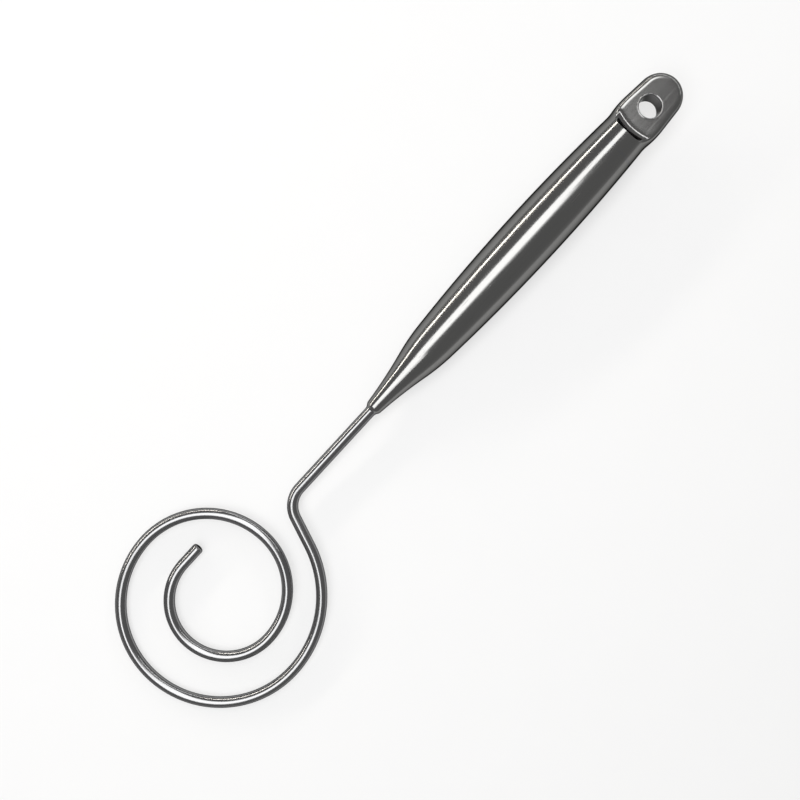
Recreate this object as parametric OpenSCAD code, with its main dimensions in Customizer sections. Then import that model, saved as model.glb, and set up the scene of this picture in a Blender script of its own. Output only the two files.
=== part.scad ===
// Dough whisk: a flat spiral of round wire in a hollow steel handle.
// The wire, the handle's axis and the middle of the hanging tab lie in one plane.
// That plane is tipped a little, as the tool rests on its far loop and on the belly of its handle.
// Everything is first drawn along X from the nose of the handle, and then set down by lay_down().

/* [Whisk wire] */
// Diameter of the wire
wire_d = 4; // [3:0.1:5]
// Straight stem from the nose of the handle to the bend
stem_len = 38; // [31:0.5:60]
// Radius of the bend at the end of the stem
bend_r = 9.4; // [7.8:0.1:12]
// Straight stretch from the bend to the loop
link_len = 11; // [8:0.5:16]
// Radius of the arc that opens the loop and undoes the bend's angle
opening_r = 39.9; // [34:0.1:46]
// Radius of the outer turn's first quarter, round the far end
far_r = 35.6; // [31:0.1:41]
// Radius of its second quarter, round the side
side_r = 34.5; // [30:0.1:40]
// Radius of its third quarter, back towards the handle
back_r = 29.9; // [26:0.1:35]
// Radius of the quarter that closes in to the inner turn
closing_r = 26; // [22.5:0.1:30]
// Radius of the inner turn's second quarter
inner_r = 20.6; // [17.5:0.1:24]
// Radius of the inner turn's last quarter
last_r = 19.6; // [16.5:0.1:23]
// Straight inner end of the wire
tail_len = 8.4; // [5:0.1:12]
// Rounding of the wire's inner end
tip_round = 0.9; // [0.3:0.1:1.4]
// Length of wire inside the handle
tang_len = 27; // [24:0.5:60]

/* [Handle barrel] */
// Length of the handle from nose to tip
handle_len = 155; // [150:1:190]
// Largest diameter of the handle
grip_d = 19.8; // [19:0.1:24]
// Distance from the nose to that diameter
grip_pos = 84; // [76:0.5:100]
// Diameter of the handle where the scoops start
rear_d = 17; // [16.4:0.1:18.4]
// Diameter at the nose
nose_d = 6; // [5.8:0.1:7]
// Length of the rounded nose
nose_round_len = 1.3; // [1:0.1:1.6]
// Radius of the rounded nose
nose_round_r = 2.5; // [2.2:0.1:4]
// Distance from the nose to the knee, where the flare meets the grip
knee_pos = 26; // [22:0.5:32]
// Radius that eases the knee
knee_r = 80; // [40:1:120]
// Radius of the hollow flare between nose and knee
flare_r = 175; // [140:5:300]
// Thickness of the handle's wall
wall = 1; // [0.8:0.05:1.2]
// Length of the solid nose, bored for the wire
nose_land = 6; // [4:0.5:9]

/* [Hanging end] */
// Distance from the tip back to the joint with the barrel
cap_len = 33; // [31.5:0.5:40]
// Distance from the tip back to the start of the scoops
scoop_from_tip = 26.6; // [25.5:0.1:28]
// Thickness between the two scooped flats
tab_t = 8; // [7:0.1:9.6]
// Radius of the scoop's ramp up to the handle
ramp_r = 5; // [4.8:0.1:6]
// Radius of the scoop seen from above
scoop_plan_r = 22; // [18:1:40]
// Largest width of the tab
tab_w = 17.8; // [17.2:0.1:19]
// Distance from the tip back to that width
tab_w_from_tip = 18.5; // [17.5:0.1:19.5]
// Radius of the tab's swell
tab_swell_r = 30; // [24:1:40]
// Radius of the waist between the handle and the tab
waist_r = 15; // [10:1:20]
// Radius of the round tip
tip_r = 8.1; // [7.8:0.1:8.4]
// Length of the spigot inside the barrel
spigot_len = 5; // [3:0.5:8]
// Length over which the spigot is joined to the wall
spigot_root = 2.5; // [2:0.5:4]

/* [Hanging hole] */
// Bore of the hanging hole
hole_d = 7.8; // [6:0.1:8.4]
// Distance from the tip back to the hole
hole_from_tip = 13.7; // [13.2:0.1:15]
// Wall of the liner through the hole
liner_wall = 0.8; // [0.6:0.05:1]
// How far the liner's rim stands above the flats
liner_proud = 0.2; // [0.1:0.05:0.4]

/* [Joining pieces] */
// Length of the weld fillet along the wire
nose_weld_len = 1; // [0.8:0.1:1.6]
// Radius of the hollow of that fillet
nose_weld_r = 1.4; // [1.2:0.1:2.5]
// Distance from the nose to the bush that holds the tang
bush_pos = 16; // [12:0.5:18]
// Length of that bush
bush_len = 8; // [6:0.5:12]
// Depth of the weld groove between barrel and hanging end
weld_depth = 0.6; // [0.4:0.05:0.7]

/* [Fits] */
// Clearance round the wire in the nose and in the bush
wire_fit = 0.05; // [0.02:0.01:0.1]
// Clearance of the spigot and the bush in the barrel
spigot_fit = 0.1; // [0.05:0.01:0.15]
// Clearance of the liner in the hanging end
liner_fit = 0.03; // [0.02:0.01:0.1]

/* [Hidden] */
$fn = 96;

wire_r = wire_d / 2;
grip_r = grip_d / 2;
rear_r = rear_d / 2;
nose_r = nose_d / 2;
half_tab = tab_t / 2;
clear = 1;
far = 60;

// Places along the handle, measured from the nose.
rear_pos = handle_len - scoop_from_tip;
joint_pos = handle_len - cap_len;
swell_pos = handle_len - tab_w_from_tip;
tip_centre = handle_len - tip_r;
hole_pos = handle_len - hole_from_tip;

// Angle of the bend, from the sides 44, 117 and 125 of a right triangle.
// Its sine and cosine are short decimals, so that the lengths of wire meet exactly face to face.
bend_sweep = atan2(117, 44);
quarter = 90;

// Every sweep of the wire after the stem: [radius, angle, side], side 1 to the left and -1 to the right.
sweeps = [
    [bend_r, bend_sweep, 1],
    [opening_r, bend_sweep, -1],
    [far_r, quarter, -1],
    [side_r, quarter, -1],
    [back_r, quarter, -1],
    [closing_r, quarter, -1],
    [inner_r, quarter, -1],
    [last_r, quarter, -1]
];

// Unit vectors of an outline at slope a: along it, and outwards from the axis.
function along(a) = [cos(a), sin(a)];
function out(a) = [-sin(a), cos(a)];
// Slope of an outline whose outward direction is v.
function slope_of(v) = atan2(-v[0], v[1]);
// Points of an arc of an outline from slope a to slope b, in n steps. A hollow arc has a negative radius.
function arc(c, r, a, b, n) = [for (k = [0:n]) c + r * out(a + (b - a) * k / n)];

// Of the two points at distance r1 from c1 and r2 from c2, the one farther out from the axis.
function meet(c1, r1, c2, r2) =
    let (
        d = norm(c2 - c1),
        u = (c2 - c1) / d,
        k = (r1 * r1 - r2 * r2 + d * d) / (2 * d),
        h = sqrt(r1 * r1 - k * k),
        v = [-u[1], u[0]],
        a = c1 + k * u + h * v,
        b = c1 + k * u - h * v
    ) a[1] > b[1] ? a : b;

// The grip is one large arc, highest at grip_pos and at rear_r where the scoops start.
grip_drop = grip_r - rear_r;
grip_span = rear_pos - grip_pos;
crown_r = (grip_span * grip_span + grip_drop * grip_drop) / (2 * grip_drop);
crown_c = [grip_pos, grip_r - crown_r];
function crown_at(s) = crown_c[1] + sqrt(crown_r * crown_r - pow(s - grip_pos, 2));

// The flare is a hollow arc from the nose to the knee.
nose_pt = [nose_round_len, nose_r];
knee_pt = [knee_pos, crown_at(knee_pos)];
flare_chord = norm(knee_pt - nose_pt);
flare_tilt = atan2(knee_pt[1] - nose_pt[1], knee_pt[0] - nose_pt[0]);
flare_c = (nose_pt + knee_pt) / 2 + sqrt(flare_r * flare_r - pow(flare_chord / 2, 2)) * out(flare_tilt);
nose_slope = flare_tilt - asin(flare_chord / 2 / flare_r);
nose_c = nose_pt - nose_round_r * out(nose_slope);

// The knee is an arc that touches the flare and the grip.
knee_c = meet(crown_c, crown_r - knee_r, flare_c, flare_r + knee_r);
flare_end = slope_of(flare_c - knee_c);
crown_start = slope_of(knee_c - crown_c);

// The tab swells behind a waist, and a straight taper leads to the round tip.
swell_c = [swell_pos, tab_w / 2 - tab_swell_r];
waist_c = meet(crown_c, crown_r + waist_r, swell_c, tab_swell_r + waist_r);
crown_end = slope_of(waist_c - crown_c);
waist_end = slope_of(waist_c - swell_c);
tip_c = [tip_centre, 0];
tip_gap = tip_c - swell_c;
taper_slope = atan2(tip_gap[1], tip_gap[0]) + acos((tab_swell_r - tip_r) / norm(tip_gap)) - 90;

// Points of the spiral's middle line, and its extent.
function turned(p, h, sweep) =
    let (
        r = sweep[0] * sweep[2],
        c = p + r * out(h),
        step = sweep[1] * sweep[2] / quarter
    ) [for (k = [0:quarter]) c - r * out(h + step * k)];
function spiral(p, h, i) =
    i == len(sweeps) ? [p + tail_len * along(h)] :
    let (
        arc = turned(p, h, sweeps[i]),
        h2 = h + sweeps[i][2] * sweeps[i][1],
        last = arc[len(arc) - 1],
        next = i == 0 ? last + link_len * along(h2) : last
    ) concat(arc, spiral(next, h2, i + 1));
line = spiral([-stem_len, 0], 180, 0);
line_x = [for (p = line) p[0]];
line_y = [for (p = line) p[1]];
far_x = min(line_x);
low_y = min(line_y) - wire_r;
high_y = max(max(line_y) + wire_r, grip_r);

// The tip of the plane that lets the far loop and the belly of the handle both touch the table.
rest_reach = [crown_r - grip_r, grip_pos - far_x];
tilt = atan2(rest_reach[1], rest_reach[0]) - acos((crown_r - wire_r) / norm(rest_reach));
lift = wire_r - far_x * sin(tilt);
mid_x = (far_x * cos(tilt) - wire_r + tip_centre * cos(tilt) + tip_r) / 2;
mid_y = (low_y + high_y) / 2;

echo(tilt_deg = tilt, hole_at = [hole_pos * cos(tilt) - mid_x, -mid_y, hole_pos * sin(tilt) + lift]);
echo(hole_axis = [-sin(tilt), 0, cos(tilt)], origin_from_nose = [mid_x, mid_y, lift]);
echo(rest_at = [grip_pos * cos(tilt) - (crown_r - grip_r) * sin(tilt) - mid_x, -mid_y]);

// Sets the tool down: tipped on its rests, with the middle of its box at the origin.
module lay_down() {
    translate([-mid_x, -mid_y, lift])
        rotate([0, -tilt, 0])
            children();
}

// A shape drawn as distance along the axis and radius, turned round the handle's axis.
module turn_on_axis() {
    rotate([0, 90, 0])
        rotate_extrude()
            rotate(90)
                mirror([0, 1])
                    children();
}

// Outline of the whole handle, from nose to tip, inset by i.
module outline(i) {
    steps = [4, 12, 5, 28, 6, 6, 12];
    nose_start = asin(-nose_c[0] / nose_round_r);
    polygon(concat(
        [[0, 0]],
        arc(nose_c, nose_round_r - i, -nose_start, nose_slope, steps[0]),
        arc(flare_c, -flare_r - i, nose_slope, flare_end, steps[1]),
        arc(knee_c, knee_r - i, flare_end, crown_start, steps[2]),
        arc(crown_c, crown_r - i, crown_start, crown_end, steps[3]),
        arc(waist_c, -waist_r - i, crown_end, waist_end, steps[4]),
        arc(swell_c, tab_swell_r - i, waist_end, taper_slope, steps[5]),
        arc(tip_c, tip_r - i, taper_slope, -90, steps[6])
    ));
}

// The stretch of that outline from a to b along the axis.
module stretch(i, a, b) {
    intersection() {
        outline(i);
        translate([a, 0])
            square([b - a, far]);
    }
}

// Cross-section of the weld groove at the joint, as deep as d.
module groove(d) {
    top = crown_at(joint_pos) + clear;
    reach = d + clear;
    polygon([[joint_pos, top - reach], [joint_pos + reach, top], [joint_pos - reach, top]]);
}

// Cutter for one scooped flat, inset by i into the tab.
module scoop(i) {
    side = scoop_plan_r + i;
    corner = ramp_r + i;
    floor_z = half_tab - i;
    translate([rear_pos + scoop_plan_r, 0, floor_z])
        rotate_extrude() {
            square([side - corner, far / 2]);
            translate([side - corner, corner])
                square([corner, far / 2 - corner]);
            intersection() {
                translate([side - corner, corner])
                    circle(r = corner);
                translate([side - corner, 0])
                    square([corner, corner]);
            }
        }
}

// The hanging end with its two scoops, inset by i, from the place from to the tip.
module hanging_body(i, from) {
    difference() {
        turn_on_axis()
            stretch(i, from, handle_len);
        scoop(i);
        mirror([0, 0, 1])
            scoop(i);
    }
}

// A straight length of wire along X, with what follows it at its end.
module wire_run(length) {
    rotate([0, 90, 0])
        cylinder(r = wire_r, h = length);
    translate([length, 0, 0])
        children();
}

// A quarter of a ring of wire round the origin, next to the negative Y axis (side 1) or the positive one.
module quarter_ring(r, side) {
    rotate(side > 0 ? -quarter : 0)
        rotate_extrude(angle = quarter)
            translate([r, 0])
                circle(r = wire_r);
}

// Block that keeps the angle of a ring that follows the negative Y axis.
module sector(angle) {
    reach = 100;
    linear_extrude(height = 2 * wire_d, center = true)
        polygon([[0, 0], [0, -reach], [reach, -reach], [reach * sin(angle), -reach * cos(angle)]]);
}

// A curved length of wire that leaves along X, with what follows it at its end.
module wire_sweep(sweep) {
    r = sweep[0];
    angle = sweep[1];
    side = sweep[2];
    translate([0, side * r, 0])
        if (angle < quarter) {
            intersection() {
                quarter_ring(r, side);
                mirror([0, side > 0 ? 0 : 1])
                    sector(angle);
            }
        } else {
            quarter_ring(r, side);
        }
    translate([0, side * r, 0])
        rotate(side * angle)
            translate([0, -side * r, 0])
                children();
}

// The spiral from sweep i on.
module wire_spiral(i) {
    wire_sweep(sweeps[i])
        if (i + 1 < len(sweeps)) {
            wire_spiral(i + 1);
        } else {
            wire_end();
        }
}

// The straight inner end with its rounded edge.
module wire_end() {
    body = tail_len - tip_round;
    rotate([0, 90, 0])
        rotate_extrude() {
            square([wire_r, body]);
            translate([0, body])
                square([wire_r - tip_round, tip_round]);
            intersection() {
                translate([wire_r - tip_round, body])
                    circle(r = tip_round);
                translate([wire_r - tip_round, body])
                    square(tip_round);
            }
        }
}

// One continuous wire: tang, stem, bend, outer turn, inner turn and straight end.
module whisk_wire() {
    color("silver")
        lay_down()
            translate([tang_len, 0, 0])
                rotate(180)
                    wire_run(tang_len + stem_len)
                        wire_sweep(sweeps[0])
                            wire_run(link_len)
                                wire_spiral(1);
}

// Hollow barrel with a solid, bored nose.
module handle_barrel() {
    color("lightsteelblue")
        lay_down()
            turn_on_axis()
                difference() {
                    stretch(0, 0, joint_pos);
                    translate([-clear, 0])
                        square([nose_land + 2 * clear, wire_r + wire_fit]);
                    stretch(wall, nose_land, joint_pos + clear);
                    groove(weld_depth);
                }
}

// Closed hollow end with scooped flats, a spigot and two seats for the liner.
module hanging_end() {
    spigot_start = joint_pos - spigot_len;
    spigot_end = joint_pos + spigot_root;
    color("lightsteelblue")
        lay_down() {
            difference() {
                hanging_body(0, joint_pos);
                hanging_body(wall, joint_pos - clear);
                turn_on_axis()
                    groove(weld_depth);
                translate([hole_pos, 0, -far / 2])
                    cylinder(r = hole_d / 2 + liner_wall + liner_fit, h = far);
            }
            turn_on_axis()
                difference() {
                    union() {
                        stretch(wall + spigot_fit, spigot_start, joint_pos);
                        stretch(wall, joint_pos, spigot_end);
                    }
                    stretch(2 * wall, spigot_start - clear, spigot_end + clear);
                }
        }
}

// Tube through the hanging end with a rounded rim at each face.
module hole_liner() {
    half = half_tab + liner_proud - liner_wall / 2;
    color("whitesmoke")
        lay_down()
            translate([hole_pos, 0, 0])
                rotate_extrude()
                    translate([hole_d / 2, 0]) {
                        translate([0, -half])
                            square([liner_wall, 2 * half]);
                        for (side = [-1, 1])
                            intersection() {
                                translate([liner_wall / 2, side * half])
                                    circle(d = liner_wall);
                                translate([0, side > 0 ? half : -half - liner_wall])
                                    square([liner_wall, liner_wall]);
                            }
                    }
}

// Hollow fillet of weld between the wire and the nose.
module nose_weld() {
    face_r = nose_c[1] + sqrt(pow(nose_round_r, 2) - pow(nose_c[0], 2));
    lip = 0.1;
    hollow_c = meet([0, face_r], nose_weld_r, [-nose_weld_len, wire_r + lip], nose_weld_r);
    color("gainsboro")
        lay_down()
            turn_on_axis()
                difference() {
                    polygon([
                        [-nose_weld_len, wire_r],
                        [0, wire_r],
                        [0, face_r],
                        [-nose_weld_len, wire_r + lip]
                    ]);
                    translate(hollow_c)
                        circle(r = nose_weld_r);
                }
}

// Plug inside the barrel that centres the wire's tang.
module tang_bush() {
    color("darkgray")
        lay_down()
            turn_on_axis()
                difference() {
                    stretch(wall + spigot_fit, bush_pos, bush_pos + bush_len);
                    translate([bush_pos - clear, 0])
                        square([bush_len + 2 * clear, wire_r + wire_fit]);
                }
}

// Weld between barrel and hanging end, dressed flush.
module end_weld() {
    color("gainsboro")
        lay_down()
            turn_on_axis()
                intersection() {
                    stretch(0, joint_pos - 2 * clear, joint_pos + 2 * clear);
                    groove(weld_depth);
                }
}

whisk_wire();
handle_barrel();
hanging_end();
hole_liner();
nose_weld();
tang_bush();
end_weld();
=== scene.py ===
import logging
import math
from dataclasses import dataclass, field
from enum import Enum
from typing import Protocol

import bmesh
import bpy
import numpy as np
from mathutils import Matrix, Vector


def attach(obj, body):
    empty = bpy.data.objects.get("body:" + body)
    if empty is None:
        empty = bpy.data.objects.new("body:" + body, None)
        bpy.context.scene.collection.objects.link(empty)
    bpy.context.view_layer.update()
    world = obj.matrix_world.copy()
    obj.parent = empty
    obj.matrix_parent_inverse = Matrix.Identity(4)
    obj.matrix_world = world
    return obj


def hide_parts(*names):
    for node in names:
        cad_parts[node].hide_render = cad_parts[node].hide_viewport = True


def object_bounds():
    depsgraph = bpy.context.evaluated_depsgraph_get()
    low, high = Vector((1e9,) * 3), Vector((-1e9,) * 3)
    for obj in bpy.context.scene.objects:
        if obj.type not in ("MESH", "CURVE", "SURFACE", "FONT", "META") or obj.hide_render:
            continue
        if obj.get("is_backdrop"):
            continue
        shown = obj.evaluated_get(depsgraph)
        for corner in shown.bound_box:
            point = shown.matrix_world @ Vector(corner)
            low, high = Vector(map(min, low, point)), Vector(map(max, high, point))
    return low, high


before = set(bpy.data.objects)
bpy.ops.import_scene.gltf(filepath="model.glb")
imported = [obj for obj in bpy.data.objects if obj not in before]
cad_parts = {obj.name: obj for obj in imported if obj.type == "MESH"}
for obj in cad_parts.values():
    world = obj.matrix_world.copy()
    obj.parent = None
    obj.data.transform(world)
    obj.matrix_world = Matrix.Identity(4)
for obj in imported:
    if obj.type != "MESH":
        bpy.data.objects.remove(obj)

# Looks of a dough whisk: polished wire, a satin steel handle, and the pieces that join them.
# Lengths are millimetres in the tool's own frame until Lie.to_row turns them into metres.
# In that frame the nose of the handle is at the origin, +X runs to the hanging end and +Z is up.

LOG = logging.getLogger("dough_whisk")
ROOT = "root"
GRAIN = "grain"
TAPER = "taper"


class Node(Enum):
    """CAD nodes that the pieces stand for."""

    WIRE = "whisk_wire"
    BARREL = "handle_barrel"
    END = "hanging_end"
    LINER = "hole_liner"
    NOSE_WELD = "nose_weld"
    BUSH = "tang_bush"
    END_WELD = "end_weld"


class Slot(Enum):
    """Material slots, each with its own steel finish."""

    WIRE = "wire"
    HANDLE = "handle"
    LINER = "liner"
    WELD = "weld"
    BUSH = "bush"


class Axis(Enum):
    """Axis of the tool's frame that a profile is turned round."""

    HANDLE = "x"
    HOLE = "z"


# Shapes


@dataclass(frozen=True)
class Lie:
    """How the tool lies on the table: tipped a little, as it rests on its loop and on its belly."""

    tilt_deg: float = 2.34082
    nose: tuple[float, float, float] = (-14.6819, 7.1924, 7.04896)

    def to_row(self, points: np.ndarray) -> np.ndarray:
        """Moves points of the tool's frame to where the tool lies.

        Args:
            points: One row of x, y and z in millimetres for each point.

        Returns:
            The points in metres in the row frame.
        """
        tilt = math.radians(self.tilt_deg)
        x, y, z = points[:, 0], points[:, 1], points[:, 2]
        tipped = np.stack(
            [
                x * math.cos(tilt) - z * math.sin(tilt),
                y,
                x * math.sin(tilt) + z * math.cos(tilt),
            ],
            axis=1,
        )
        return (tipped + np.array(self.nose)) / 1000.0


class Stretch(Protocol):
    """A stretch of the handle's outline."""

    end: float

    def height(self, at: np.ndarray) -> np.ndarray:
        """Gives the handle's radius at places along the axis.

        Args:
            at: Distances from the nose.

        Returns:
            The radius at each place.
        """


@dataclass(frozen=True)
class Arc:
    """A round stretch of the outline: bulging with side 1, hollow with side -1."""

    end: float
    centre: tuple[float, float]
    radius: float
    side: int = 1

    def height(self, at: np.ndarray) -> np.ndarray:
        """Gives the handle's radius at places along the axis.

        Args:
            at: Distances from the nose.

        Returns:
            The radius at each place.
        """
        rise = np.sqrt(np.maximum(self.radius**2 - (at - self.centre[0]) ** 2, 0.0))
        return self.centre[1] + self.side * rise


@dataclass(frozen=True)
class Slope:
    """A straight stretch of the outline."""

    end: float
    point: tuple[float, float]
    rate: float

    def height(self, at: np.ndarray) -> np.ndarray:
        """Gives the handle's radius at places along the axis.

        Args:
            at: Distances from the nose.

        Returns:
            The radius at each place.
        """
        return self.point[1] + self.rate * (at - self.point[0])


def meet(
    first: tuple[float, float], r1: float, second: tuple[float, float], r2: float
) -> tuple[float, float]:
    """Finds the upper point at given distances from two others.

    Args:
        first: The first point.
        r1: Distance from the first point.
        second: The second point.
        r2: Distance from the second point.

    Returns:
        The point.
    """
    a, b = np.array(first), np.array(second)
    apart = float(np.linalg.norm(b - a))
    along = (b - a) / apart
    reach = (r1 * r1 - r2 * r2 + apart * apart) / (2 * apart)
    side = math.sqrt(r1 * r1 - reach * reach) * np.array([-along[1], along[0]])
    return tuple(max(a + reach * along + side, a + reach * along - side, key=lambda v: v[1]))


@dataclass(frozen=True)
class Outline:
    """Outline of the handle, as a chain of stretches from the nose to the round tip."""

    length: float = 154.99
    grip_r: float = 9.89
    grip_pos: float = 84.0
    rear_r: float = 8.5
    rear_pos: float = 128.4
    nose_r: float = 3.0
    nose_round_len: float = 1.3
    nose_round_r: float = 2.5
    knee_pos: float = 26.0
    knee_r: float = 80.0
    flare_r: float = 175.0
    tab_r: float = 8.9
    tab_pos: float = 136.5
    tab_swell_r: float = 30.0
    waist_r: float = 15.0
    tip_r: float = 8.09
    stretches: tuple[Stretch, ...] = field(init=False)

    def __post_init__(self) -> None:
        """Works out the stretches from the sizes."""
        object.__setattr__(self, "stretches", self._chain())

    @property
    def tip_centre(self) -> float:
        """Place of the round tip's centre on the axis."""
        return self.length - self.tip_r

    def _chain(self) -> tuple[Stretch, ...]:
        """Finds the stretches that run smoothly into one another.

        Returns:
            The stretches in their order from the nose.
        """
        drop, span = self.grip_r - self.rear_r, self.rear_pos - self.grip_pos
        crown_r = (span * span + drop * drop) / (2 * drop)
        crown = (self.grip_pos, self.grip_r - crown_r)
        knee_top = float(Arc(0, crown, crown_r).height(np.array(self.knee_pos)))
        low, high = np.array([self.nose_round_len, self.nose_r]), np.array([self.knee_pos, knee_top])
        chord = high - low
        half = float(np.linalg.norm(chord)) / 2
        lean = math.atan2(chord[1], chord[0])
        rise = math.sqrt(self.flare_r**2 - half**2)
        flare = tuple((low + high) / 2 + rise * np.array([-math.sin(lean), math.cos(lean)]))
        start = lean - math.asin(half / self.flare_r)
        nose = tuple(low - self.nose_round_r * np.array([-math.sin(start), math.cos(start)]))
        knee = meet(crown, crown_r - self.knee_r, flare, self.flare_r + self.knee_r)
        swell = (self.tab_pos, self.tab_r - self.tab_swell_r)
        waist = meet(crown, crown_r + self.waist_r, swell, self.tab_swell_r + self.waist_r)
        gap = (self.tip_centre - swell[0], -swell[1])
        turn = math.acos((self.tab_swell_r - self.tip_r) / math.hypot(*gap))
        out = math.atan2(gap[1], gap[0]) + turn
        swell_end = swell[0] + self.tab_swell_r * math.cos(out)
        taper_end = self.tip_centre + self.tip_r * math.cos(out)
        swell_top = swell[1] + self.tab_swell_r * math.sin(out)
        return (
            Arc(self.nose_round_len, nose, self.nose_round_r),
            Arc(self._touch(flare, knee, self.flare_r), flare, self.flare_r, -1),
            Arc(self._touch(crown, knee, crown_r), knee, self.knee_r),
            Arc(self._touch(crown, waist, crown_r), crown, crown_r),
            Arc(self._touch(swell, waist, self.tab_swell_r), waist, self.waist_r, -1),
            Arc(swell_end, swell, self.tab_swell_r),
            Slope(taper_end, (swell_end, swell_top), -1 / math.tan(out)),
            Arc(self.length, (self.tip_centre, 0.0), self.tip_r),
        )

    @staticmethod
    def _touch(centre: tuple[float, float], other: tuple[float, float], radius: float) -> float:
        """Finds where two touching arcs meet.

        Args:
            centre: Centre of the first arc.
            other: Centre of the second arc.
            radius: Radius of the first arc.

        Returns:
            The place of the meeting point along the axis.
        """
        return centre[0] + radius * (other[0] - centre[0]) / math.dist(centre, other)

    def radius(self, at: np.ndarray) -> np.ndarray:
        """Gives the radius of the handle at places along its axis.

        Args:
            at: Distances from the nose.

        Returns:
            The radius at each place.
        """
        places = np.asarray(at, dtype=float)
        result = np.zeros_like(places)
        start = -1.0
        for stretch in self.stretches:
            inside = (places > start) & (places <= stretch.end + 1e-9)
            result = np.where(inside, stretch.height(places), result)
            start = stretch.end
        return result


def soft_min(a: np.ndarray, b: np.ndarray, blend: float) -> np.ndarray:
    """Takes the lower of two heights, with a rounded passage between them.

    Args:
        a: The first heights.
        b: The second heights.
        blend: Difference in height over which they pass into one another.

    Returns:
        The rounded lower height.
    """
    near = np.maximum(blend - np.abs(a - b), 0.0) / blend
    return np.minimum(a, b) - near * near * blend / 4


# Meshes


@dataclass(frozen=True)
class Piece:
    """Turns points and faces into an object that stands for a CAD node."""

    node: Node
    slot: Slot
    material: bpy.types.Material
    lie: Lie
    crease_deg: float = 35.0

    def make(
        self, points: np.ndarray, grain: np.ndarray, faces: list[tuple[int, ...]]
    ) -> bpy.types.Object:
        """Builds a smooth-shaded mesh object.

        Args:
            points: Points in the tool's frame.
            grain: Place of each point on the brushed surface, with the brushing along the first value.
            faces: Point numbers of each face.

        Returns:
            The object, with its place in its mesh.
        """
        mesh = bpy.data.meshes.new(self.node.value)
        mesh.from_pydata(self.lie.to_row(points).tolist(), [], faces)
        layer = mesh.attributes.new(GRAIN, "FLOAT_VECTOR", "POINT")
        layer.data.foreach_set("vector", grain.astype(np.float32).ravel())
        self._outward(mesh)
        made = bpy.data.objects.new(self.node.value + "_look", mesh)
        bpy.context.scene.collection.objects.link(made)
        return self.finish(made)

    @staticmethod
    def _outward(mesh: bpy.types.Mesh) -> None:
        """Turns the faces of a mesh so that their normals point outwards.

        Args:
            mesh: The mesh to change.
        """
        work = bmesh.new()
        work.from_mesh(mesh)
        bmesh.ops.recalc_face_normals(work, faces=work.faces)
        work.to_mesh(mesh)
        work.free()

    def finish(self, made: bpy.types.Object) -> bpy.types.Object:
        """Gives an object its material and smooth shading with creases.

        Args:
            made: The object to finish.

        Returns:
            The same object.
        """
        mesh = made.data
        mesh.materials.clear()
        mesh.materials.append(self.material)
        mesh.shade_smooth()
        mesh.set_sharp_from_angle(angle=math.radians(self.crease_deg))
        return made

    def declare(self, made: bpy.types.Object) -> None:
        """Attaches the object to the root body and hides the CAD part that it stands for.

        Args:
            made: The finished object.
        """
        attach(made, ROOT)
        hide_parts(self.node.value)
        LOG.info("piece %s: %d faces", made.name, len(made.data.polygons))

    def turned(
        self,
        profile: np.ndarray,
        axis: Axis = Axis.HANDLE,
        offset: float = 0.0,
        sides: int = 192,
    ) -> bpy.types.Object:
        """Turns a closed profile round an axis.

        Args:
            profile: Distance along the axis and radius of each profile point.
            axis: The axis to turn round.
            offset: Place of a hole's axis along the handle.
            sides: Number of steps round the axis.

        Returns:
            The object.
        """
        turn = np.linspace(0.0, 2 * math.pi, sides, endpoint=False)
        along = np.repeat(profile[:, :1], sides, axis=1).ravel()
        radius = np.repeat(profile[:, 1:], sides, axis=1)
        across, up = (radius * np.cos(turn)).ravel(), (radius * np.sin(turn)).ravel()
        points = {
            Axis.HANDLE: np.stack([along, across, up], axis=1),
            Axis.HOLE: np.stack([across + offset, up, along], axis=1),
        }[axis]
        count = len(profile)
        faces = [
            (
                i * sides + j,
                (i + 1) % count * sides + j,
                (i + 1) % count * sides + (j + 1) % sides,
                i * sides + (j + 1) % sides,
            )
            for i in range(count)
            for j in range(sides)
        ]
        return self.make(points, np.stack([along, across, up], axis=1), faces)


def stations(start: float, end: float, step: float) -> np.ndarray:
    """Spreads places evenly from start to end.

    Args:
        start: The first place.
        end: The last place.
        step: The largest distance between neighbours.

    Returns:
        The places.
    """
    return np.linspace(start, end, max(2, math.ceil(abs(end - start) / step) + 1))


# Pieces of the whisk


@dataclass
class Pen:
    """Draws a flat line piece by piece, each one going on where the last one ended."""

    step: float
    place: np.ndarray
    heading: float
    points: list[np.ndarray] = field(default_factory=list)

    @property
    def ahead(self) -> np.ndarray:
        """Direction in which the line goes on."""
        return np.array([math.cos(self.heading), math.sin(self.heading)])

    def forward(self, length: float) -> None:
        """Goes straight ahead.

        Args:
            length: How far to go.
        """
        start = self.place
        for way in stations(0.0, length, self.step)[1:]:
            self.points.append(start + way * self.ahead)
        self.place = self.points[-1]

    def sweep(self, radius: float, angle: float, side: int) -> None:
        """Goes along an arc.

        Args:
            radius: Radius of the arc.
            angle: How far to turn.
            side: 1 to turn left and -1 to turn right.
        """
        start = self.heading
        reach = side * radius
        centre = self.place + reach * np.array([-math.sin(start), math.cos(start)])
        for turn in stations(0.0, angle, self.step / radius)[1:]:
            now = start + side * turn
            self.points.append(centre - reach * np.array([-math.sin(now), math.cos(now)]))
        self.place, self.heading = self.points[-1], start + side * angle


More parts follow.
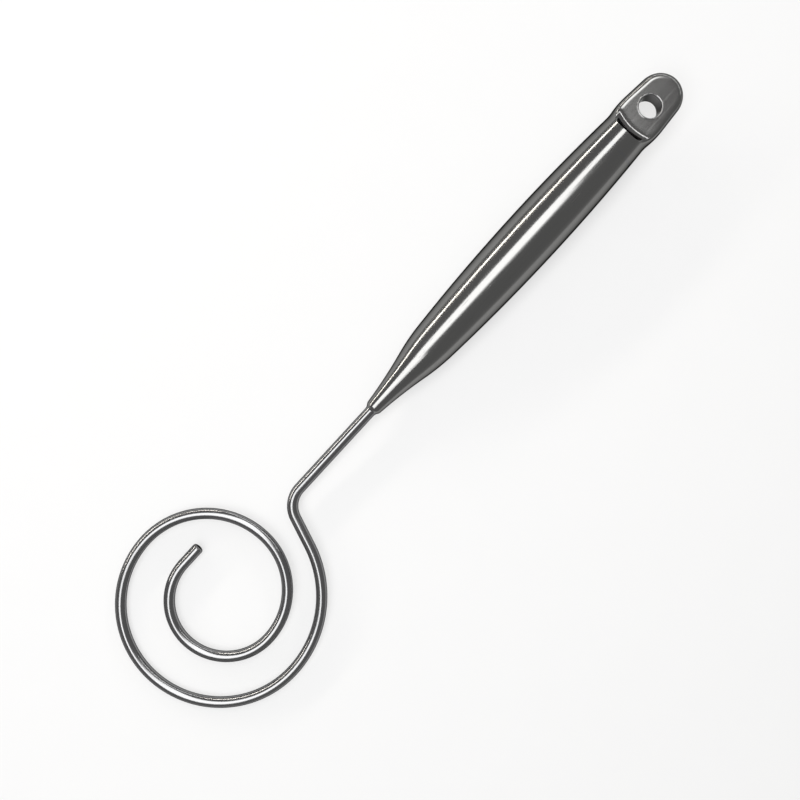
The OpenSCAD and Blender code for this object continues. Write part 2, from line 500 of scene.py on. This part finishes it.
@dataclass(frozen=True)
class WhiskWire:
    """The one continuous wire: tang, stem, bend, outer turn, inner turn and straight inner end."""

    wire_r: float = 2.0
    tang_len: float = 27.0
    stem_len: float = 38.0
    bend_r: float = 9.4
    bend: float = math.atan2(117.0, 44.0)
    link_len: float = 11.0
    opening_r: float = 39.9
    quarter_radii: tuple[float, ...] = (35.6, 34.5, 29.9, 26.0, 20.6, 19.6)
    tail_len: float = 8.4
    tip_round: float = 0.9
    step: float = 0.6
    sides: int = 48

    def path(self) -> tuple[np.ndarray, np.ndarray]:
        """Walks along the middle of the wire from the tang to its inner end.

        Returns:
            The points of the middle line, and the wire's thickness at each as a share of the full one.
        """
        start = np.array([self.tang_len, 0.0])
        pen = Pen(self.step, start, math.pi, [start])
        pen.forward(self.tang_len + self.stem_len)
        pen.sweep(self.bend_r, self.bend, 1)
        pen.forward(self.link_len)
        pen.sweep(self.opening_r, self.bend, -1)
        for radius in self.quarter_radii:
            pen.sweep(radius, math.pi / 2, -1)
        pen.forward(self.tail_len - self.tip_round)
        points, share = list(pen.points), [1.0] * len(pen.points)
        for turn in stations(0.0, math.pi / 2, math.radians(15))[1:]:
            points.append(pen.place + self.tip_round * math.sin(turn) * pen.ahead)
            share.append(1.0 - self.tip_round * (1.0 - math.cos(turn)) / self.wire_r)
        flat = np.array(points)
        return np.column_stack([flat, np.zeros(len(flat))]), np.array(share)

    def build(self, piece: Piece) -> bpy.types.Object:
        """Draws the middle line and lets the sweep give it its thickness.

        Args:
            piece: What the wire stands for.

        Returns:
            The object.
        """
        line, share = self.path()
        mesh = bpy.data.meshes.new(piece.node.value)
        edges = [(i, i + 1) for i in range(len(line) - 1)]
        mesh.from_pydata(piece.lie.to_row(line).tolist(), edges, [])
        layer = mesh.attributes.new(TAPER, "FLOAT", "POINT")
        layer.data.foreach_set("value", share.astype(np.float32))
        made = bpy.data.objects.new(piece.node.value + "_look", mesh)
        bpy.context.scene.collection.objects.link(made)
        WireSweep().apply(made, self.wire_r / 1000.0, self.sides, piece.material)
        return piece.finish(made)


@dataclass(frozen=True)
class WireSweep:
    """Geometry nodes that give a line of edges a round cross-section."""

    name: str = "Wire sweep"

    def _tree(self) -> tuple[bpy.types.NodeTree, dict[str, str]]:
        """Builds the node tree.

        Returns:
            The tree, and the identifier of each named input.
        """
        tree = bpy.data.node_groups.new(self.name, "GeometryNodeTree")
        face = tree.interface
        face.new_socket(name="Geometry", in_out="INPUT", socket_type="NodeSocketGeometry")
        named = {
            "Wire radius": "NodeSocketFloat",
            "Sides": "NodeSocketInt",
            "Finish": "NodeSocketMaterial",
        }
        keys = {
            name: face.new_socket(name=name, in_out="INPUT", socket_type=kind).identifier
            for name, kind in named.items()
        }
        face.new_socket(name="Geometry", in_out="OUTPUT", socket_type="NodeSocketGeometry")
        maker = TreeMaker(tree)
        given = maker.node("NodeGroupInput")
        line = maker.node("GeometryNodeMeshToCurve", inputs={"Mesh": given.outputs["Geometry"]})
        share = maker.node(
            "GeometryNodeInputNamedAttribute", {"data_type": "FLOAT"}, {"Name": TAPER}
        )
        reach = maker.node("GeometryNodeSplineParameter")
        marked = maker.node(
            "GeometryNodeStoreNamedAttribute",
            {"data_type": "FLOAT", "domain": "POINT"},
            {"Geometry": line.outputs["Curve"], "Name": "reach", "Value": reach.outputs["Length"]},
        )
        ring = maker.node(
            "GeometryNodeCurvePrimitiveCircle",
            {"mode": "RADIUS"},
            {"Resolution": given.outputs["Sides"], "Radius": given.outputs["Wire radius"]},
        )
        place = maker.node("GeometryNodeInputPosition")
        marked_ring = maker.node(
            "GeometryNodeStoreNamedAttribute",
            {"data_type": "FLOAT_VECTOR", "domain": "POINT"},
            {"Geometry": ring.outputs["Curve"], "Name": "round", "Value": place.outputs["Position"]},
        )
        swept = maker.node(
            "GeometryNodeCurveToMesh",
            inputs={
                "Curve": marked.outputs["Geometry"],
                "Profile Curve": marked_ring.outputs["Geometry"],
                "Scale": share.outputs["Attribute"],
                "Fill Caps": True,
            },
        )
        length = maker.node(
            "GeometryNodeInputNamedAttribute", {"data_type": "FLOAT"}, {"Name": "reach"}
        )
        girth = maker.node(
            "GeometryNodeInputNamedAttribute", {"data_type": "FLOAT_VECTOR"}, {"Name": "round"}
        )
        split = maker.node(
            "ShaderNodeSeparateXYZ", inputs={"Vector": girth.outputs["Attribute"]}
        )
        joined = maker.node(
            "ShaderNodeCombineXYZ",
            inputs={
                "X": length.outputs["Attribute"],
                "Y": split.outputs["X"],
                "Z": split.outputs["Y"],
            },
        )
        in_mm = maker.node(
            "ShaderNodeVectorMath",
            {"operation": "SCALE"},
            {"Vector": joined.outputs["Vector"], "Scale": 1000.0},
        )
        grained = maker.node(
            "GeometryNodeStoreNamedAttribute",
            {"data_type": "FLOAT_VECTOR", "domain": "POINT"},
            {
                "Geometry": swept.outputs["Mesh"],
                "Name": GRAIN,
                "Value": in_mm.outputs["Vector"],
            },
        )
        real = maker.node(
            "GeometryNodeRealizeInstances", inputs={"Geometry": grained.outputs["Geometry"]}
        )
        clad = maker.node(
            "GeometryNodeSetMaterial",
            inputs={"Geometry": real.outputs["Geometry"], "Material": given.outputs["Finish"]},
        )
        maker.node("NodeGroupOutput", inputs={"Geometry": clad.outputs["Geometry"]})
        return tree, keys

    def apply(
        self, made: bpy.types.Object, radius: float, sides: int, material: bpy.types.Material
    ) -> None:
        """Runs the sweep on an object and keeps its result as a plain mesh.

        Args:
            made: The object whose mesh is a line of edges.
            radius: Radius of the wire in metres.
            sides: Number of steps round the wire.
            material: The wire's material.
        """
        tree, keys = self._tree()
        modifier = made.modifiers.new(self.name, "NODES")
        modifier.node_group = tree
        modifier[keys["Wire radius"]] = radius
        modifier[keys["Sides"]] = sides
        modifier[keys["Finish"]] = material
        keep_result(made)


def keep_result(made: bpy.types.Object) -> None:
    """Replaces an object's mesh by what its modifiers make of it.

    Args:
        made: The object to change.
    """
    bpy.context.view_layer.update()
    view = made.evaluated_get(bpy.context.evaluated_depsgraph_get())
    mesh = bpy.data.meshes.new_from_object(view)
    made.modifiers.clear()
    made.data = mesh


@dataclass(frozen=True)
class HandleBarrel:
    """The hollow barrel, from its bored nose to the weld groove."""

    outline: Outline
    joint: float = 122.0
    wall: float = 1.0
    nose_land: float = 6.0
    bore_r: float = 2.05
    groove: float = 0.6

    def build(self, piece: Piece) -> bpy.types.Object:
        """Turns the wall's profile round the axis.

        Args:
            piece: What the barrel stands for.

        Returns:
            The object.
        """
        nose = stations(0.0, 3.0, 0.15)
        outer = np.concatenate([nose[:-1], stations(3.0, self.joint - self.groove, 0.8)])
        inner = stations(self.joint, self.nose_land, 2.0)
        rear = float(self.outline.radius(np.array(self.joint)))
        profile = np.concatenate(
            [
                np.column_stack([outer, self.outline.radius(outer)]),
                [[self.joint, rear - self.groove]],
                np.column_stack([inner, self.outline.radius(inner) - self.wall]),
                [[self.nose_land, self.bore_r], [0.0, self.bore_r]],
            ]
        )
        return piece.turned(profile)


@dataclass(frozen=True)
class HangingEnd:
    """The rear end with two scooped flats and the seat of the hanging hole."""

    outline: Outline
    joint: float = 122.0
    groove: float = 0.6
    half_tab: float = 4.0
    scoop_r: float = 22.0
    ramp_r: float = 5.0
    crown: float = 0.16
    crown_rim: float = 1.7
    edge_blend: float = 1.4
    hole_pos: float = 141.3
    seat_r: float = 4.5
    scoop_start: float = 127.0
    scoop_end: float = 134.0
    sides: int = 400

    def _scoop(self, at: np.ndarray, across: np.ndarray) -> np.ndarray:
        """Gives the height of the scooped flat, which is crowned along its rim.

        Args:
            at: Distances from the nose.
            across: Distances from the middle plane.

        Returns:
            The height of the scoop's surface above the axis.
        """
        radius = self.outline.radius(at)
        side = np.sqrt(np.maximum(radius**2 - self.half_tab**2, 0.0))
        round_r = math.sqrt(self.outline.tip_r**2 - self.half_tab**2)
        past = at > self.outline.tip_centre
        inset = np.where(
            past,
            round_r - np.hypot(at - self.outline.tip_centre, across),
            side - np.abs(across),
        )
        rim = np.clip(1.0 - inset / self.crown_rim, 0.0, 1.0)
        floor = self.half_tab - self.crown * rim**2
        reach = np.hypot(at - self.outline.rear_pos - self.scoop_r, across)
        into = reach - (self.scoop_r - self.ramp_r)
        ramp = self.ramp_r - np.sqrt(self.ramp_r**2 - np.clip(into, 0.0, self.ramp_r) ** 2)
        clear = np.where(into > self.ramp_r, 3 * self.outline.grip_r, 0.0)
        return floor + ramp + clear

    def build(self, piece: Piece) -> bpy.types.Object:
        """Builds the skin ring by ring and cuts the seat of the liner.

        Args:
            piece: What the end stands for.

        Returns:
            The object.
        """
        tip = self.outline.tip_centre
        round_tip = stations(math.radians(80), math.radians(1.2), math.radians(1.5))
        turn_start = tip + self.outline.tip_r * math.cos(math.radians(80))
        at = np.concatenate(
            [
                stations(self.joint + self.groove, self.scoop_start, 0.8)[:-1],
                stations(self.scoop_start, self.scoop_end, 0.1)[:-1],
                stations(self.scoop_end, turn_start, 0.2)[:-1],
                tip + self.outline.tip_r * np.cos(round_tip),
            ]
        )
        turn = np.linspace(0.0, 2 * math.pi, self.sides, endpoint=False)
        radius = self.outline.radius(at)[:, None]
        across = radius * np.cos(turn)[None, :]
        height = soft_min(
            np.abs(radius * np.sin(turn)[None, :]),
            self._scoop(np.repeat(at[:, None], self.sides, axis=1), across),
            self.edge_blend,
        )
        along = np.repeat(at[:, None], self.sides, axis=1)
        rings = np.stack([along, across, np.sign(np.sin(turn)) * np.maximum(height, 0.0)], axis=2)
        root_r = float(self.outline.radius(np.array(self.joint))) - self.groove
        root = np.stack(
            [np.full(self.sides, self.joint), root_r * np.cos(turn), root_r * np.sin(turn)], axis=1
        )
        skin = np.concatenate([root[None], rings]).reshape(-1, 3)
        points = np.concatenate([skin, [[self.joint, 0, 0], [self.outline.length, 0, 0]]])
        count, sides = len(at) + 1, self.sides
        faces: list[tuple[int, ...]] = []
        for low in range(0, (count - 1) * sides, sides):
            high = low + sides
            for j in range(sides):
                k = (j + 1) % sides
                faces.append((low + j, high + j, high + k, low + k))
        last = (count - 1) * sides
        for j in range(sides):
            faces.append((j, (j + 1) % sides, count * sides))
            faces.append((last + (j + 1) % sides, last + j, count * sides + 1))
        made = piece.make(points, points, faces)
        self._cut_seat(made, piece)
        return piece.finish(made)

    def _cut_seat(self, made: bpy.types.Object, piece: Piece) -> None:
        """Cuts the round seat of the liner through both flats.

        Args:
            made: The object to cut.
            piece: What the end stands for, for the place of the cutter.
        """
        work = bmesh.new()
        bmesh.ops.create_cone(
            work, cap_ends=True, segments=128, radius1=self.seat_r, radius2=self.seat_r, depth=40.0
        )
        mesh = bpy.data.meshes.new("seat_cutter")
        work.to_mesh(mesh)
        work.free()
        points = np.array([v.co[:] for v in mesh.vertices]) + np.array([self.hole_pos, 0.0, 0.0])
        mesh.vertices.foreach_set("co", piece.lie.to_row(points).astype(np.float32).ravel())
        cutter = bpy.data.objects.new("seat_cutter", mesh)
        bpy.context.scene.collection.objects.link(cutter)
        modifier = made.modifiers.new("Seat", "BOOLEAN")
        modifier.operation = "DIFFERENCE"
        modifier.solver = "EXACT"
        modifier.object = cutter
        keep_result(made)
        bpy.data.objects.remove(cutter)
        bpy.data.meshes.remove(mesh)


@dataclass(frozen=True)
class HoleLiner:
    """The short tube through the hanging end, with a rounded rim at each face."""

    hole_pos: float = 141.3
    bore_r: float = 3.9
    wall: float = 0.8
    half: float = 3.8

    def build(self, piece: Piece) -> bpy.types.Object:
        """Turns the tube's profile round the hole's axis.

        Args:
            piece: What the liner stands for.

        Returns:
            The object.
        """
        middle, round_r = self.bore_r + self.wall / 2, self.wall / 2
        turn = stations(0.0, math.pi, math.radians(12))
        top = np.column_stack([self.half + round_r * np.sin(turn), middle - round_r * np.cos(turn)])
        low = np.column_stack([-self.half - round_r * np.sin(turn), middle + round_r * np.cos(turn)])
        return piece.turned(np.concatenate([top, low]), Axis.HOLE, self.hole_pos, 128)


@dataclass(frozen=True)
class NoseWeld:
    """The hollow fillet of weld between the wire and the nose."""

    outline: Outline
    length: float = 1.0
    hollow_r: float = 1.4
    wire_r: float = 2.0
    lip: float = 0.1

    def build(self, piece: Piece) -> bpy.types.Object:
        """Turns the fillet's profile round the wire.

        Args:
            piece: What the weld stands for.

        Returns:
            The object.
        """
        face = (0.0, float(self.outline.radius(np.array(0.0))))
        edge = (-self.length, self.wire_r + self.lip)
        centre = meet(face, self.hollow_r, edge, self.hollow_r)
        first = math.atan2(face[1] - centre[1], face[0] - centre[0])
        last = math.atan2(edge[1] - centre[1], edge[0] - centre[0])
        turn = np.linspace(first, last, 10)
        hollow = np.array(centre) + self.hollow_r * np.column_stack([np.cos(turn), np.sin(turn)])
        inner = [[-self.length, self.wire_r - self.lip], [0.0, self.wire_r - self.lip]]
        return piece.turned(np.concatenate([hollow, inner]), sides=96)


@dataclass(frozen=True)
class TangBush:
    """The plug inside the barrel that centres the wire's tang."""

    outline: Outline
    place: float = 16.0
    length: float = 8.0
    bore_r: float = 2.05
    inset: float = 1.1

    def build(self, piece: Piece) -> bpy.types.Object:
        """Turns the plug's profile round the axis.

        Args:
            piece: What the bush stands for.

        Returns:
            The object.
        """
        at = stations(self.place, self.place + self.length, 1.0)
        outer = np.column_stack([at, self.outline.radius(at) - self.inset])
        bore = [[self.place + self.length, self.bore_r], [self.place, self.bore_r]]
        return piece.turned(np.concatenate([outer, bore]), sides=96)


@dataclass(frozen=True)
class EndWeld:
    """The weld that fills the groove between barrel and hanging end, dressed flush."""

    outline: Outline
    joint: float = 122.0
    groove: float = 0.6

    def build(self, piece: Piece) -> bpy.types.Object:
        """Turns the weld's profile round the axis.

        Args:
            piece: What the weld stands for.

        Returns:
            The object.
        """
        at = stations(self.joint - self.groove, self.joint + self.groove, 0.2)
        root = float(self.outline.radius(np.array(self.joint))) - self.groove
        outer = np.column_stack([at, self.outline.radius(at)])
        return piece.turned(np.concatenate([outer, [[self.joint, root]]]))


# Materials


Input = "bpy.types.NodeSocket | Value | float | int | bool | str | tuple | bpy.types.ID"


@dataclass(frozen=True)
class TreeMaker:
    """Adds nodes to a tree, with their settings and what feeds them."""

    tree: bpy.types.NodeTree

    def node(
        self,
        kind: str,
        settings: dict[str, object] | None = None,
        inputs: "dict[str | int, Input] | None" = None,
    ) -> bpy.types.Node:
        """Adds one node.

        Args:
            kind: Type of the node.
            settings: Properties of the node.
            inputs: What feeds each input: an output, a Value or a constant.

        Returns:
            The node.
        """
        made = self.tree.nodes.new(kind)
        for name, setting in (settings or {}).items():
            setattr(made, name, setting)
        for name, given in (inputs or {}).items():
            socket = made.inputs[name]
            source = given.socket if isinstance(given, Value) else given
            if isinstance(source, bpy.types.NodeSocket):
                self.tree.links.new(source, socket)
            else:
                socket.default_value = source
        return made

    def maths(self, operation: str, *terms: "Value | float") -> "Value":
        """Adds a calculation.

        Args:
            operation: Name of the calculation.
            terms: What it works on.

        Returns:
            Its result.
        """
        made = self.node("ShaderNodeMath", {"operation": operation}, dict(enumerate(terms)))
        return Value(self, made.outputs["Value"])


@dataclass(frozen=True)
class Value:
    """An output of a node, which can be used in sums and products."""

    maker: TreeMaker
    socket: bpy.types.NodeSocket

    def __add__(self, other: "Value | float") -> "Value":
        """Gives self + other.

        Args:
            other: The other term.

        Returns:
            The result.
        """
        return self.maker.maths("ADD", self, other)

    __radd__ = __add__

    def __mul__(self, other: "Value | float") -> "Value":
        """Gives self * other.

        Args:
            other: The other term.

        Returns:
            The result.
        """
        return self.maker.maths("MULTIPLY", self, other)

    __rmul__ = __mul__

    def __sub__(self, other: "Value | float") -> "Value":
        """Gives self - other.

        Args:
            other: The other term.

        Returns:
            The result.
        """
        return self.maker.maths("SUBTRACT", self, other)

    def __rsub__(self, other: float) -> "Value":
        """Gives other - self.

        Args:
            other: The other term.

        Returns:
            The result.
        """
        return self.maker.maths("SUBTRACT", other, self)

    def __pow__(self, other: float) -> "Value":
        """Gives self to the power of other.

        Args:
            other: The other term.

        Returns:
            The result.
        """
        return self.maker.maths("POWER", self, other)

    def at_most(self, limit: float) -> "Value":
        """Gives the lower of self and a limit.

        Args:
            limit: The limit.

        Returns:
            The result.
        """
        return self.maker.maths("MINIMUM", self, limit)

    def at_least(self, limit: float) -> "Value":
        """Gives the higher of self and a limit.

        Args:
            limit: The limit.

        Returns:
            The result.
        """
        return self.maker.maths("MAXIMUM", self, limit)


@dataclass(frozen=True)
class SteelFinish:
    """A steel surface with fine grain along one direction, faint clouds and a few scratches."""

    name: str
    base: tuple[float, float, float]
    edge: float
    roughness: float
    grain_width: float = 0.25
    grain_length: float = 14.0
    grain_tone: float = 0.05
    grain_depth: float = 0.05
    clouds: float = 0.04
    scratches: float = 0.1

    def build(self) -> bpy.types.Material:
        """Builds the material.

        Returns:
            The material.
        """
        made = bpy.data.materials.new(self.name)
        made.use_nodes = True
        made.node_tree.nodes.clear()
        maker = TreeMaker(made.node_tree)
        grain = self._streaks(maker, self.grain_width, self.grain_length, 3.0)
        fine = self._streaks(maker, self.grain_width / 3, self.grain_length / 2, 1.0)
        cloud = self._streaks(maker, 9.0, 16.0, 2.0)
        line = self._streaks(maker, 0.35, 40.0, 0.0)
        scratch = ((line - 0.7) * 12.0).at_least(0.0).at_most(1.0)
        streak = grain * 0.6 + fine * 0.4 - 0.5
        tone = 1.0 + streak * (2 * self.grain_tone) + (cloud - 0.5) * self.clouds
        colour = maker.node(
            "ShaderNodeVectorMath",
            {"operation": "SCALE"},
            {"Vector": self.base, "Scale": tone - scratch * self.scratches},
        )
        rough = (
            self.roughness
            + streak * (1.5 * self.grain_tone)
            + (cloud - 0.5) * (2 * self.clouds)
            + scratch * self.scratches
        )
        bump = maker.node(
            "ShaderNodeBump",
            inputs={
                "Strength": self.grain_depth,
                "Distance": 0.0001,
                "Height": streak - scratch * 0.5,
            },
        )
        shader = maker.node(
            "ShaderNodeBsdfPrincipled",
            inputs={
                "Base Color": colour.outputs["Vector"],
                "Metallic": 1.0,
                "Roughness": rough.at_least(0.03),
                "Specular Tint": (self.edge, self.edge, self.edge, 1.0),
                "Normal": bump.outputs["Normal"],
            },
        )
        maker.node("ShaderNodeOutputMaterial", inputs={"Surface": shader.outputs["BSDF"]})
        return made

    @staticmethod
    def _streaks(maker: TreeMaker, width: float, length: float, detail: float) -> Value:
        """Adds noise drawn out along the brushing.

        Args:
            maker: The tree to add to.
            width: Typical width of a streak in millimetres.
            length: Typical length of a streak in millimetres.
            detail: How much finer noise is added.

        Returns:
            The noise, from 0 to 1.
        """
        place = maker.node("ShaderNodeAttribute", {"attribute_name": GRAIN})
        drawn = maker.node(
            "ShaderNodeVectorMath",
            {"operation": "MULTIPLY"},
            {0: place.outputs["Vector"], 1: (1 / length, 1 / width, 1 / width)},
        )
        noise = maker.node(
            "ShaderNodeTexNoise",
            inputs={"Vector": drawn.outputs["Vector"], "Scale": 1.0, "Detail": detail},
        )
        return Value(maker, noise.outputs["Fac"])


@dataclass(frozen=True)
class TableFinish:
    """A plain pale matt surface with a faint mottle, partly seen at white."""

    name: str = "Pale table"
    tone: float = 0.76
    mottle: float = 0.012
    white: float = 0.6

    def build(self) -> bpy.types.Material:
        """Builds the material.

        Returns:
            The material.
        """
        made = bpy.data.materials.new(self.name)
        made.use_nodes = True
        made.node_tree.nodes.clear()
        maker = TreeMaker(made.node_tree)
        place = maker.node("ShaderNodeTexCoord")
        noise = maker.node(
            "ShaderNodeTexNoise",
            inputs={"Vector": place.outputs["Object"], "Scale": 60.0, "Detail": 3.0},
        )
        tone = self.tone + (Value(maker, noise.outputs["Fac"]) - 0.5) * (2 * self.mottle)
        colour = maker.node(
            "ShaderNodeVectorMath",
            {"operation": "SCALE"},
            {"Vector": (1.0, 1.0, 1.0), "Scale": tone},
        )
        matt = maker.node("ShaderNodeBsdfDiffuse", inputs={"Color": colour.outputs["Vector"]})
        plain = maker.node("ShaderNodeEmission", inputs={"Strength": 1.0})
        ray = maker.node("ShaderNodeLightPath").outputs
        seen = (
            Value(maker, ray["Is Camera Ray"])
            + Value(maker, ray["Is Glossy Ray"])
            + Value(maker, ray["Is Transmission Ray"])
        )
        shader = maker.node(
            "ShaderNodeMixShader",
            inputs={
                0: seen.at_most(1.0) * self.white,
                1: matt.outputs["BSDF"],
                2: plain.outputs["Emission"],
            },
        )
        maker.node("ShaderNodeOutputMaterial", inputs={"Surface": shader.outputs["Shader"]})
        return made


# Stage


@dataclass(frozen=True)
class Lamp:
    """A rectangular soft lamp."""

    name: str
    place: tuple[float, float, float]
    target: tuple[float, float, float]
    size: tuple[float, float]
    radiance: float
    colour: tuple[float, float, float] = (1.0, 1.0, 1.0)

    def build(self) -> None:
        """Adds the lamp, with the long side of its rectangle along X."""
        lamp = bpy.data.lights.new(self.name, "AREA")
        lamp.shape = "RECTANGLE"
        lamp.size, lamp.size_y = self.size
        lamp.energy = self.radiance * math.pi * self.size[0] * self.size[1]
        lamp.color = self.colour
        made = bpy.data.objects.new(self.name, lamp)
        bpy.context.scene.collection.objects.link(made)
        back = (Vector(self.place) - Vector(self.target)).normalized()
        side = (Vector((1.0, 0.0, 0.0)) - back * back.x).normalized()
        made.matrix_world = Matrix.Translation(self.place) @ Matrix(
            (side, back.cross(side), back)
        ).transposed().to_4x4()
        made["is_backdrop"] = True


@dataclass(frozen=True)
class Stage:
    """The table, the studio round it and its lamps."""

    half_size: float = 3.0
    drop: float = 0.00002
    overhead: float = 0.32
    horizon: float = 0.55
    lamps: tuple[Lamp, ...] = (
        Lamp("Softbox", (0.0, 0.165, 0.6), (0.0, 0.165, 0.0), (0.84, 0.2), 4.4),
        Lamp("Softbox front", (-0.09, 0.0225, 0.6), (-0.09, 0.0225, 0.0), (0.66, 0.085), 4.4),
        Lamp("Falloff", (-0.09, -0.045, 0.6), (-0.09, -0.045, 0.0), (0.66, 0.05), 1.4),
        Lamp("Spiral light", (-0.34, -0.1, 0.61), (-0.34, -0.1, 0.0), (0.3, 0.16), 3.0),
        Lamp("Strip", (0.0, 0.75, 0.3), (0.0, 0.0, 0.0), (1.4, 0.05), 17.0, (1.0, 0.95, 0.87)),
        Lamp("End strip", (0.8, 0.2, 0.42), (0.13, 0.0, 0.0), (0.06, 1.2), 7.0),
    )

    def build(self, finish: bpy.types.Material) -> None:
        """Adds the table, the world and the lamps.

        Args:
            finish: Material of the table.
        """
        reach = self.half_size
        mesh = bpy.data.meshes.new("table")
        corners = [(-reach, -reach), (reach, -reach), (reach, reach), (-reach, reach)]
        mesh.from_pydata([(x, y, -self.drop) for x, y in corners], [], [(0, 1, 2, 3)])
        mesh.materials.append(finish)
        table = bpy.data.objects.new("table", mesh)
        bpy.context.scene.collection.objects.link(table)
        table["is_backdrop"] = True
        self._world()
        for lamp in self.lamps:
            lamp.build()

    def _world(self) -> None:
        """Adds a studio that is pale at the horizon and darker overhead."""
        world = bpy.data.worlds.new("Studio")
        world.use_nodes = True
        world.node_tree.nodes.clear()
        maker = TreeMaker(world.node_tree)
        way = maker.node("ShaderNodeTexCoord")
        split = maker.node("ShaderNodeSeparateXYZ", inputs={"Vector": way.outputs["Generated"]})
        rise = Value(maker, split.outputs["Z"]).at_least(0.0)
        low = (1.0 - rise) ** 10.0
        strength = self.overhead + low * (self.horizon - self.overhead)
        sky = maker.node(
            "ShaderNodeBackground", inputs={"Color": (1.0, 1.0, 1.0, 1.0), "Strength": strength}
        )
        maker.node("ShaderNodeOutputWorld", inputs={"Surface": sky.outputs["Background"]})
        bpy.context.scene.world = world


@dataclass(frozen=True)
class Viewpoint:
    """The camera that looks down on the tool."""

    place: tuple[float, float, float] = (-0.00554, 0.00423, 0.34202)
    target: tuple[float, float, float] = (-0.0056, 0.00212, 0.0)
    top: tuple[float, float, float] = (0.7358, 0.6771, -0.0043)
    lens: float = 42.75
    sensor: float = 36.0

    def build(self) -> None:
        """Adds the camera and makes it the scene's camera."""
        data = bpy.data.cameras.new("Camera")
        data.lens, data.sensor_width = self.lens, self.sensor
        data.clip_start, data.clip_end = 0.01, 20.0
        made = bpy.data.objects.new("Camera", data)
        bpy.context.scene.collection.objects.link(made)
        back = (Vector(self.place) - Vector(self.target)).normalized()
        top = Vector(self.top)
        top = (top - back * top.dot(back)).normalized()
        made.matrix_world = Matrix.Translation(self.place) @ Matrix(
            (top.cross(back), top, back)
        ).transposed().to_4x4()
        bpy.context.scene.camera = made


HANDLE_STEEL = SteelFinish(
    name="Satin steel",
    base=(0.215, 0.214, 0.21),
    edge=0.1,
    roughness=0.15,
    grain_tone=0.08,
    grain_depth=0.01,
)
WIRE_STEEL = SteelFinish(
    name="Polished wire",
    base=(0.22, 0.22, 0.222),
    edge=0.03,
    roughness=0.16,
    grain_width=0.2,
    grain_tone=0.03,
    grain_depth=0.008,
)
LINER_STEEL = SteelFinish(
    name="Polished liner",
    base=(0.25, 0.25, 0.25),
    edge=0.2,
    roughness=0.1,
    grain_tone=0.03,
)
WELD_STEEL = SteelFinish(
    name="Dressed weld",
    base=(0.21, 0.21, 0.212),
    edge=0.05,
    roughness=0.16,
    grain_depth=0.02,
)
BUSH_STEEL = SteelFinish(
    name="Turned steel",
    base=(0.3, 0.3, 0.3),
    edge=0.5,
    roughness=0.3,
)


def corners() -> list[list[float]]:
    """Measures the shown object.

    Returns:
        Its lowest and highest corner as plain lists.
    """
    return [[float(v) for v in corner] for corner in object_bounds()]


def main() -> None:
    """Builds the whisk and its stage."""
    logging.basicConfig(level=logging.INFO, format="%(message)s")
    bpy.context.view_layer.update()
    lie, outline = Lie(), Outline()
    steel = {
        Slot.WIRE: WIRE_STEEL.build(),
        Slot.HANDLE: HANDLE_STEEL.build(),
        Slot.LINER: LINER_STEEL.build(),
        Slot.WELD: WELD_STEEL.build(),
        Slot.BUSH: BUSH_STEEL.build(),
    }
    order = (
        (Node.WIRE, Slot.WIRE, WhiskWire()),
        (Node.BARREL, Slot.HANDLE, HandleBarrel(outline)),
        (Node.END, Slot.HANDLE, HangingEnd(outline)),
        (Node.LINER, Slot.LINER, HoleLiner()),
        (Node.NOSE_WELD, Slot.WELD, NoseWeld(outline)),
        (Node.BUSH, Slot.BUSH, TangBush(outline)),
        (Node.END_WELD, Slot.WELD, EndWeld(outline)),
    )
    for node, slot, maker in order:
        piece = Piece(node, slot, steel[slot], lie)
        piece.declare(maker.build(piece))
    Stage().build(TableFinish().build())
    Viewpoint().build()
    bpy.context.scene.view_settings.view_transform = "Standard"


if __name__ == "__main__":
    main()
